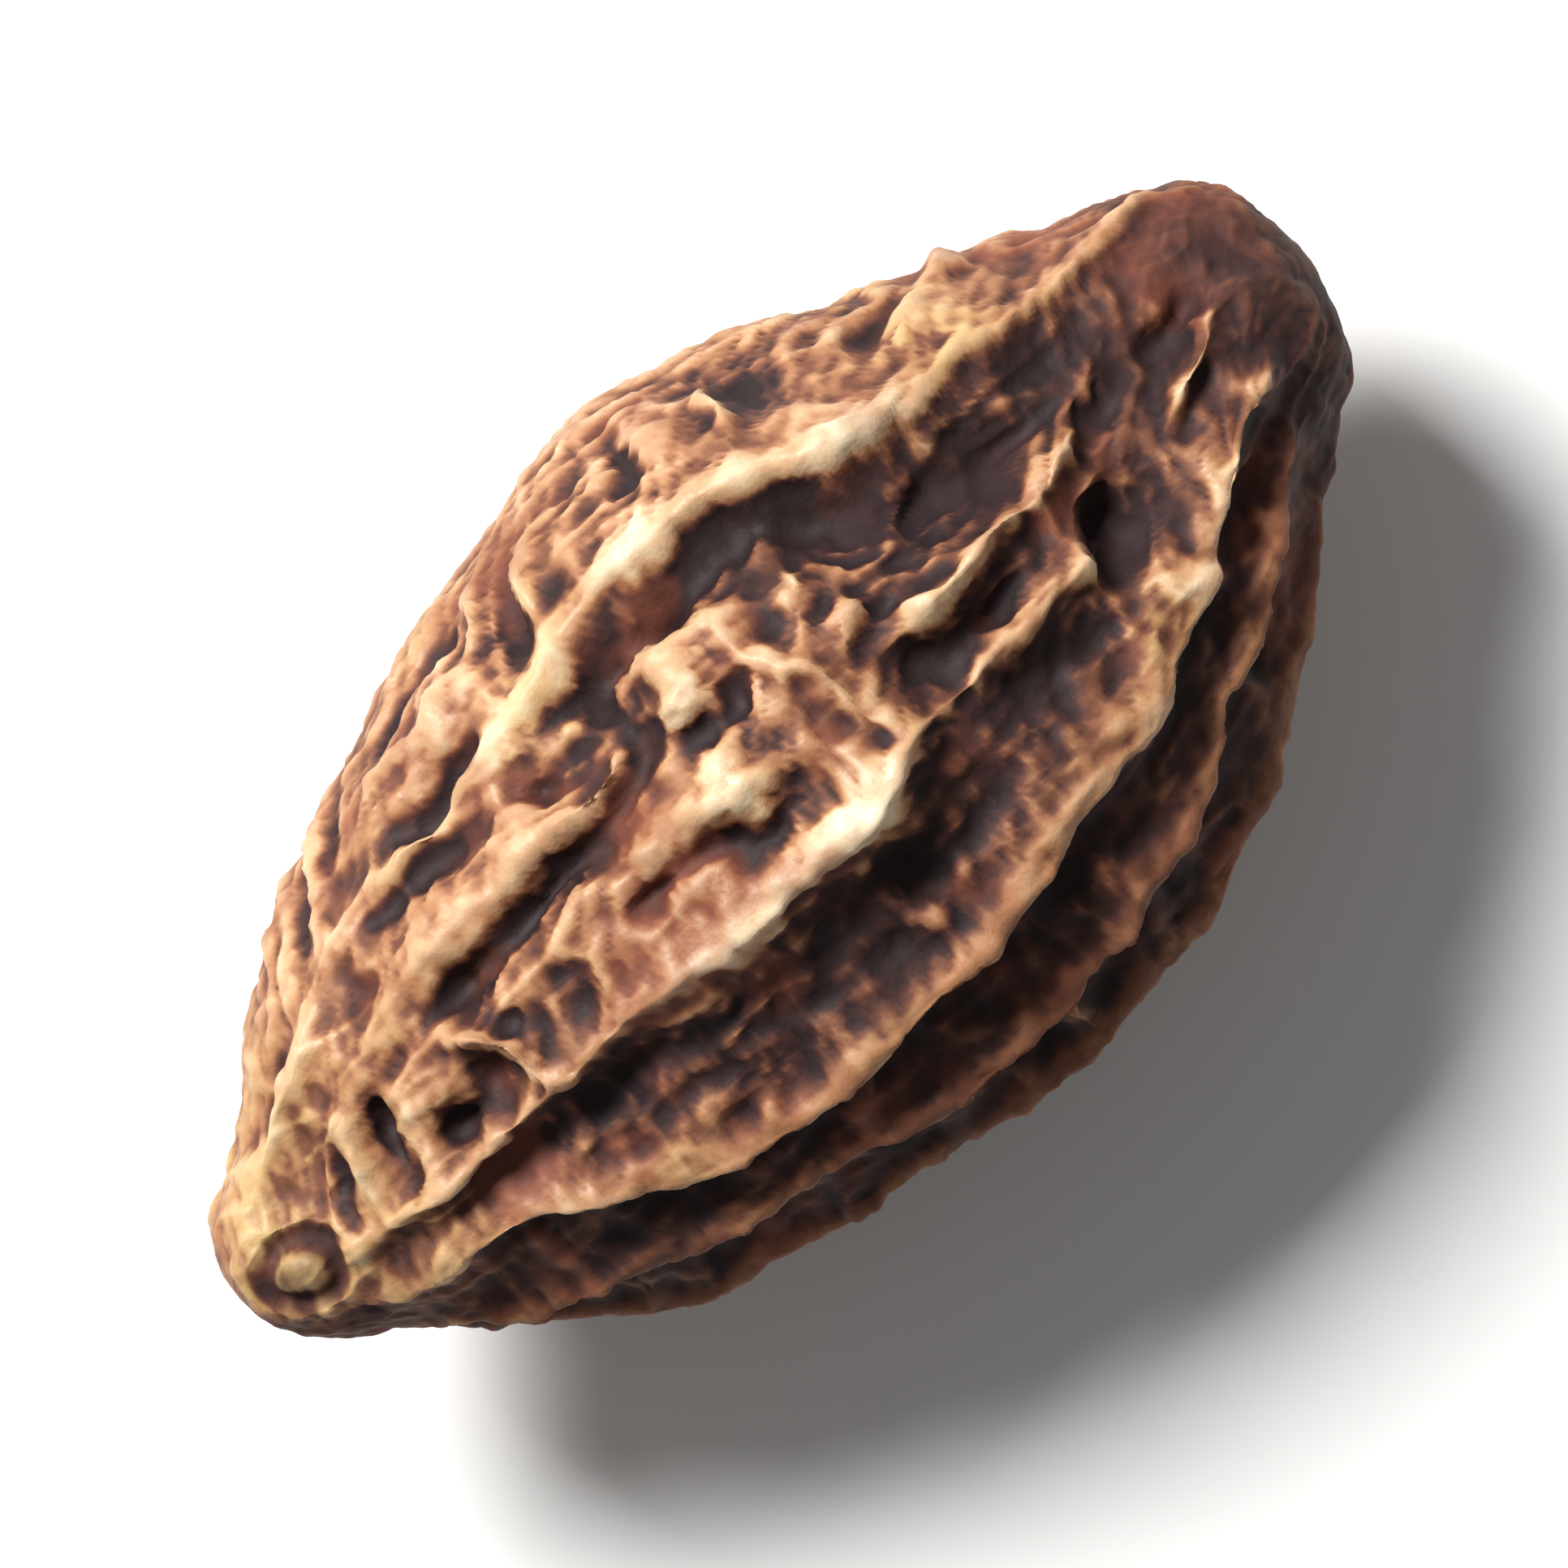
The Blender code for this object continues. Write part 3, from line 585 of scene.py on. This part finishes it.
def threads_at(place, size, width, shift):
    """Thin threads where a noise crosses its middle: 1 on a thread, 0 from a share of the noise outwards."""
    wave = math_of(skin_tree, "MULTIPLY_ADD", noise_at(place, size, 1.0, shift)["Fac"], 2.0, -1.0)
    fold = math_of(skin_tree, "DIVIDE", math_of(skin_tree, "ABSOLUTE", wave), width)
    return math_of(skin_tree, "SUBTRACT", 1.0, math_of(skin_tree, "SMOOTH_MIN", fold, 1.0, 0.5))


def swell_at(place, size, detail, shift):
    """Soft swells and dips of a size in mm, from about -0.5 to 0.5."""
    return math_of(skin_tree, "SUBTRACT", noise_at(place, size, detail, shift)["Fac"], 0.5)


flat_place = add(skin_tree, "GeometryNodeInputPosition").outputs[0]
drift = vector_of(skin_tree, "SUBTRACT", noise_at(flat_place, given["Warp size"], 1.0)["Color"], (0.5, 0.5, 0.5))
drifted = add(skin_tree, "ShaderNodeVectorMath", {"operation": "SCALE"}, {0: drift, "Scale": given["Warp reach"]})
warped = vector_of(skin_tree, "ADD", flat_place, drifted.outputs[0])
axes = add(skin_tree, "ShaderNodeSeparateXYZ", None, {0: warped}).outputs
lean = math_of(skin_tree, "MULTIPLY", math_of(skin_tree, "SUBTRACT", axes["Z"], axes["Y"]), given["Wrinkle slant"])
slanted = add(
    skin_tree,
    "ShaderNodeCombineXYZ",
    None,
    {"X": math_of(skin_tree, "ADD", axes["X"], lean), "Y": axes["Y"], "Z": axes["Z"]},
).outputs[0]
patches = add(
    skin_tree,
    "ShaderNodeMapRange",
    {"interpolation_type": "SMOOTHSTEP"},
    {"Value": noise_at(flat_place, given["Patch size"], 1.0, 7.0)["Fac"], "From Min": 0.38, "From Max": 0.62},
).outputs["Result"]
off_crest = math_of(skin_tree, "MULTIPLY_ADD", stored("ribs"), -0.4, 1.0)
cross = math_of(skin_tree, "MULTIPLY", threads_at(slanted, given["Cross fold size"], 0.55, 1.0), off_crest)
cross = math_of(skin_tree, "MULTIPLY", cross, math_of(skin_tree, "MULTIPLY_ADD", patches, 0.7, 0.3))
cross = math_of(skin_tree, "MULTIPLY", cross, given["Cross fold depth"])
thin = math_of(skin_tree, "MULTIPLY", threads_at(slanted, given["Fine fold size"], 0.6, 3.0), given["Fine fold depth"])
veins = math_of(skin_tree, "MULTIPLY", threads_at(warped, given["Vein size"], 0.3, 2.0), given["Vein height"])
veins = math_of(skin_tree, "MULTIPLY", veins, math_of(skin_tree, "MULTIPLY_ADD", patches, -0.6, 1.0))
fine = math_of(skin_tree, "SUBTRACT", math_of(skin_tree, "SUBTRACT", veins, cross), thin)
lumps = swell_at(warped, given["Lump size"], 2.0, 5.0)
fine = math_of(skin_tree, "MULTIPLY_ADD", lumps, math_of(skin_tree, "MULTIPLY", given["Lump height"], off_crest), fine)
fine = math_of(skin_tree, "MULTIPLY_ADD", swell_at(warped, given["Pucker size"], 3.0, 4.0), given["Pucker height"], fine)

valleys = math_of(skin_tree, "MULTIPLY", math_of(skin_tree, "SUBTRACT", stored("ribs"), 1.0), stored("rib_room"))
height = math_of(skin_tree, "MULTIPLY_ADD", valleys, given["Rib height"], stored("creases"))
height = math_of(skin_tree, "MULTIPLY_ADD", stored("net"), given["Net height"], height)
outwards = add(skin_tree, "GeometryNodeInputNormal").outputs[0]


def keep(geometry, name, value):
    """The geometry with a value stored on its points under a name."""
    return add(
        skin_tree,
        "GeometryNodeStoreNamedAttribute",
        {"data_type": "FLOAT", "domain": "POINT"},
        {"Geometry": geometry, "Name": name, "Value": value},
    ).outputs[0]


def above_surroundings(spread):
    """How far the skin stands above its blurred surroundings, in mm."""
    blurred = add(
        skin_tree, "GeometryNodeBlurAttribute", {"data_type": "FLOAT"}, {0: stored("height"), "Iterations": spread}
    ).outputs[0]
    return math_of(skin_tree, "SUBTRACT", stored("height"), blurred)


def raised_by(geometry, name):
    """The geometry raised along its normals by a stored height."""
    rise = add(skin_tree, "ShaderNodeVectorMath", {"operation": "SCALE"}, {0: outwards, "Scale": stored(name)})
    return add(skin_tree, "GeometryNodeSetPosition", None, {"Geometry": geometry, "Offset": rise.outputs[0]}).outputs[0]


# The fine wrinkles are laid out on the ribbed skin, so that they keep their size on the steep sides of the ribs.
ribbed = raised_by(keep(given["Geometry"], "height", height), "height")
kept = keep(ribbed, "fine", math_of(skin_tree, "MULTIPLY", fine, stored("fine_room")))
kept = keep(kept, "height", math_of(skin_tree, "ADD", stored("height"), stored("fine")))
# These measures of how far the skin stands above its surroundings feed the colour, which paints shade into furrows and
# hollows with them.
kept = keep(kept, "crack", above_surroundings(given["Crack spread"]))
kept = keep(kept, "relief", above_surroundings(given["Furrow spread"]))
raised = raised_by(keep(kept, "hollow", above_surroundings(given["Hollow spread"])), "fine")
place = add(skin_tree, "ShaderNodeSeparateXYZ", None, {0: add(skin_tree, "GeometryNodeInputPosition").outputs[0]})
lowest_of = add(
    skin_tree, "GeometryNodeAttributeStatistic", None, {"Geometry": raised, "Attribute": place.outputs["Z"]}
)
flat_level = math_of(skin_tree, "ADD", lowest_of.outputs["Min"], given["Flat spot depth"])
flattened = add(
    skin_tree,
    "ShaderNodeCombineXYZ",
    None,
    {
        "X": place.outputs["X"],
        "Y": place.outputs["Y"],
        "Z": math_of(skin_tree, "MAXIMUM", place.outputs["Z"], flat_level),
    },
).outputs[0]
rested = add(skin_tree, "GeometryNodeSetPosition", None, {"Geometry": raised, "Position": flattened}).outputs[0]
whole = add(skin_tree, "GeometryNodeRealizeInstances", None, {"Geometry": rested}).outputs[0]
skinned = add(skin_tree, "GeometryNodeSetMaterial", None, {"Geometry": whole, "Material": given["Skin"]}).outputs[0]
skin_tree.links.new(skinned, skin_tree.nodes.new("NodeGroupOutput").inputs[0])

# The skin's colour and sheen.
# Dried myrobalan skin, a leathery skin rich in tannin: golden tan on ribs and threads, orange-brown on the flanks and
# nearly black purple-brown in the furrows, with a dull waxy sheen. Part of that darkness is painted shade, the side
# away from the key light is painted darker as shade, and pale patches on the top are painted highlights.


def linear(hex_colour):
    """An sRGB hex colour as linear red, green and blue with full alpha."""
    parts = [int(hex_colour[start:start + 2], 16) / 255.0 for start in (1, 3, 5)]
    return (*(part / 12.92 if part <= 0.04045 else ((part + 0.055) / 1.055) ** 2.4 for part in parts), 1.0)


skin = bpy.data.materials.new("dried myrobalan skin")
skin.use_nodes = True
look = skin.node_tree
look.nodes.clear()
# tones from near black to pale cream; the dark end also serves painted shade in the furrows and the pale end painted
# highlights
TONES = (
    (0.0, "#241516"),
    (0.2, "#432621"),
    (0.4, "#754833"),
    (0.6, "#A97651"),
    (0.8, "#CFA780"),
    (1.0, "#EBDAB8"),
)
METRES_TO_MM = 1000.0


def on_skin(name):
    """A value stored on the skin's points."""
    return add(look, "ShaderNodeAttribute", {"attribute_name": name}).outputs["Fac"]


def blotches(size, detail, seed):
    """Soft blotches of a size in mm."""
    return add(
        look,
        "ShaderNodeTexNoise",
        {"noise_dimensions": "4D"},
        {"Vector": skin_place, "W": seed, "Scale": 1.0 / size, "Detail": detail, "Roughness": 0.55},
    ).outputs[0]


def ramp(value, stops):
    """A colour ramp through stops of (place, sRGB hex colour)."""
    node = add(look, "ShaderNodeValToRGB", None, {"Fac": value})
    while len(node.color_ramp.elements) < len(stops):
        node.color_ramp.elements.new(0.5)
    for element, (place_on_ramp, colour) in zip(node.color_ramp.elements, stops):
        element.position = place_on_ramp
        element.color = linear(colour)
    return node.outputs["Color"]


def tint(base, colour, amount):
    """The base colour mixed with another by an amount."""
    mix = add(look, "ShaderNodeMix", {"data_type": "RGBA"})
    look.links.new(base, mix.inputs[6])
    mix.inputs[7].default_value = linear(colour)
    look.links.new(amount, mix.inputs[0])
    return mix.outputs[2]


def range_of(value, low, high):
    """0 where the value is at low, 1 where it is at high, eased between."""
    node = add(
        look,
        "ShaderNodeMapRange",
        {"interpolation_type": "SMOOTHSTEP"},
        {"Value": value, "From Min": low, "From Max": high},
    )
    return node.outputs["Result"]


coordinates = add(look, "ShaderNodeTexCoord").outputs["Object"]
skin_place = add(
    look, "ShaderNodeMapping", None, {"Vector": coordinates, "Scale": (METRES_TO_MM,) * 3}
).outputs["Vector"]
axes = add(look, "ShaderNodeSeparateXYZ", None, {0: skin_place}).outputs
stalk_end = range_of(axes["X"], -9.0, -15.0)
# Ribs and skin that stands above its surroundings are lighter, sunken skin darker: partly the skin's own colour, partly
# painted shade in furrows and hollows and painted light on crests.
tone = math_of(look, "MULTIPLY_ADD", on_skin("ribs"), 0.26, 0.25)
tone = math_of(look, "MULTIPLY_ADD", stalk_end, 0.28, tone)
tone = math_of(look, "MULTIPLY_ADD", on_skin("crack"), 3.0, tone)
tone = math_of(look, "MULTIPLY_ADD", on_skin("relief"), 1.7, tone)
tone = math_of(look, "MULTIPLY_ADD", on_skin("hollow"), 0.55, tone)
tone = math_of(look, "SMOOTH_MIN", tone, 0.76, 0.3)
# Painted shade: the side away from the key light is darkened and its contrast squeezed.
tone = math_of(look, "MULTIPLY", tone, math_of(look, "MULTIPLY_ADD", on_skin("shaded"), -0.52, 1.0))
tone = math_of(look, "MULTIPLY_ADD", on_skin("shaded"), 0.08, tone)
# Painted highlights: pale patches where the top, the central rib and the lit flank catch the key light, and the pale
# scar disc.
tone = math_of(look, "MULTIPLY_ADD", on_skin("highlight_and_pale"), 0.18, tone)
tone = math_of(look, "MULTIPLY_ADD", math_of(look, "SUBTRACT", blotches(1.1, 5.0, 1.0), 0.5), 0.7, tone)
tone = math_of(look, "MULTIPLY_ADD", math_of(look, "SUBTRACT", blotches(5.0, 2.0, 4.0), 0.5), 0.4, tone)
colour = ramp(tone, TONES)
colour = tint(colour, "#8A4A34", math_of(look, "MULTIPLY", range_of(blotches(2.4, 3.0, 8.0), 0.5, 0.66), 0.45))
light_places = range_of(tone, 0.4, 0.7)
yellowed = math_of(look, "MULTIPLY", range_of(blotches(3.5, 3.0, 25.0), 0.5, 0.7), light_places)
colour = tint(colour, "#C9AE6E", math_of(look, "MULTIPLY", yellowed, 0.4))
colour = tint(colour, "#CDB878", math_of(look, "MULTIPLY", math_of(look, "MULTIPLY", stalk_end, light_places), 0.2))
# Dark patches: painted shade on the side away from the key light and in valleys, hollows and pits, deepened as painted
# shade where the skin is sunken, with the dark blunt end and the ring round the scar. They are rougher too.
shade_and_dark_spots = math_of(look, "MULTIPLY_ADD", on_skin("shaded"), 0.3, on_skin("shade_and_dark_spots"))
ragged = math_of(look, "MULTIPLY_ADD", math_of(look, "SUBTRACT", blotches(0.9, 3.0, 15.0), 0.5), 1.2, shade_and_dark_spots)
ragged = math_of(look, "MULTIPLY_ADD", on_skin("relief"), -2.0, ragged)
colour = tint(colour, "#2E1C1D", math_of(look, "MULTIPLY", range_of(ragged, 0.1, 0.8), 0.8))

shader = add(
    look, "ShaderNodeBsdfPrincipled", None, {"Base Color": colour, "IOR": 1.45, "Specular IOR Level": 0.4}
)
rough = math_of(look, "MULTIPLY_ADD", blotches(0.8, 3.0, 12.0), 0.3, 0.3)
rough = math_of(look, "MULTIPLY_ADD", math_of(look, "SUBTRACT", 1.0, light_places), 0.25, rough)
rough = math_of(look, "MULTIPLY_ADD", shade_and_dark_spots, 0.15, rough)
look.links.new(rough, shader.inputs["Roughness"])
grain = add(look, "ShaderNodeBump", None, {"Strength": 0.25, "Distance": 0.00012, "Height": blotches(0.22, 3.0, 20.0)})
look.links.new(grain.outputs["Normal"], shader.inputs["Normal"])
output = add(look, "ShaderNodeOutputMaterial", None, {"Surface": shader.outputs["BSDF"]})

# The finished fruit takes the place of its plain solid.
body = bpy.data.objects.new("wrinkled_fruit", body_mesh)
bpy.context.scene.collection.objects.link(body)
wrinkling = body.modifiers.new("wrinkled skin", "NODES")
wrinkling.node_group = skin_tree
sockets = {item.name: item.identifier for item in skin_tree.interface.items_tree if item.in_out == "INPUT"}
for name, kind, value in skin_sizes:
    wrinkling[sockets[name]] = skin if name == "Skin" else value
evaluated = body.evaluated_get(bpy.context.evaluated_depsgraph_get())
fruit_mesh = bpy.data.meshes.new_from_object(evaluated)
body.modifiers.remove(wrinkling)
fine = np.empty(len(fruit_mesh.vertices) * 3)
fruit_mesh.vertices.foreach_get("co", fine)
fine = fine.reshape(-1, 3)
fine_low, fine_high = fine.min(axis=0), fine.max(axis=0)
solid_low, solid_high = (np.array(corner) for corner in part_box("fruit"))
fine = solid_low + (fine - fine_low) * (solid_high - solid_low) / (fine_high - fine_low)
fruit_mesh.vertices.foreach_set("co", fine.ravel())
fruit_mesh.update()
fruit_mesh.shade_smooth()
body.data = fruit_mesh
body.name = "fruit_skin"
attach(body, "root")
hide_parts("fruit")

# The floor: a wide matt white sheet, as in a plain studio.
FLOOR_SIZE = 0.6
bpy.ops.mesh.primitive_plane_add(size=FLOOR_SIZE)
floor = bpy.context.object
floor.name = "floor"
paper = bpy.data.materials.new("matt white paper")
paper.use_nodes = True
paper.node_tree.nodes["Principled BSDF"].inputs["Base Color"].default_value = linear("#F4F3F1")
paper.node_tree.nodes["Principled BSDF"].inputs["Roughness"].default_value = 0.9
floor.data.materials.append(paper)

# The light: a soft key over the broad flank, as in the photograph, and a weak white room.
scene = bpy.context.scene
scene.view_settings.view_transform = "Standard"
room = bpy.data.worlds.new("white room")
scene.world = room
room.use_nodes = True
room.node_tree.nodes["Background"].inputs["Color"].default_value = (1.0, 1.0, 1.0, 1.0)
room.node_tree.nodes["Background"].inputs["Strength"].default_value = 0.2
TARGET = Vector((0.0, 0.0, 0.008))


def lamp(name, direction, distance, size, power):
    """Square area light that looks at the fruit from a direction."""
    light = bpy.data.lights.new(name, "AREA")
    light.size = size
    light.energy = power
    holder = bpy.data.objects.new(name, light)
    direction = Vector(direction).normalized()
    holder.location = TARGET + direction * distance
    holder.rotation_euler = direction.to_track_quat("Z", "Y").to_euler()
    scene.collection.objects.link(holder)


lamp("key light", (-0.15, 1.0, 1.25), 0.30, 0.09, 1.5)

# The camera looks straight down, turned so that the fruit's axis rises to the right as in the photograph.
AXIS_RISE = math.radians(42.5)
CAMERA_DISTANCE = 0.235
camera = bpy.data.objects.new("camera", bpy.data.cameras.new("camera"))
camera.data.lens = 250.0
camera.matrix_world = Matrix.Translation(TARGET + Vector((0.0, 0.0, CAMERA_DISTANCE))) @ Matrix.Rotation(
    -AXIS_RISE, 4, "Z"
)
scene.collection.objects.link(camera)
scene.camera = camera
